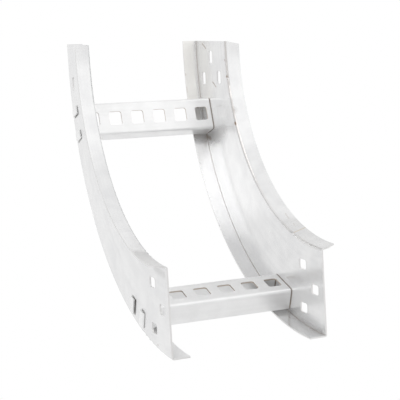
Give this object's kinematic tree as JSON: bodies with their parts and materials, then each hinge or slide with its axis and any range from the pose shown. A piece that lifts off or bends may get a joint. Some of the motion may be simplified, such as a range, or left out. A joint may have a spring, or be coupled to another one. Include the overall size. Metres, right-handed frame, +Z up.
{
  "type": "cable tray bend",
  "caption": "Right-angle vertical bend of a cable ladder: two curved side rails of folded sheet joined by perforated rungs.",
  "frame": {"origin": "middle of the lower end, level with the rails' base (their convex edge)", "axes": "+X along the rungs towards the right rail seen from the lower end, +Y into the bend from the lower end, +Z up; the upper end faces +Z and the arc's centre is at y = 0, z = 0.280"},
  "size_m": [0.1816, 0.283, 0.285],
  "materials": {
    "rail_sheet": "bright galvanised sheet with fine rolling lines along the rail, a few scratches and brownish cut edges",
    "rung_sheet": "bright galvanised sheet with fine lines along the rung and soft punched edges"
  },
  "bodies": {
    "root": {"left_side_rail": "rail_sheet", "right_side_rail": "rail_sheet", "upper_rung": "rung_sheet", "lower_rung": "rung_sheet"}
  },
  "joints": []
}
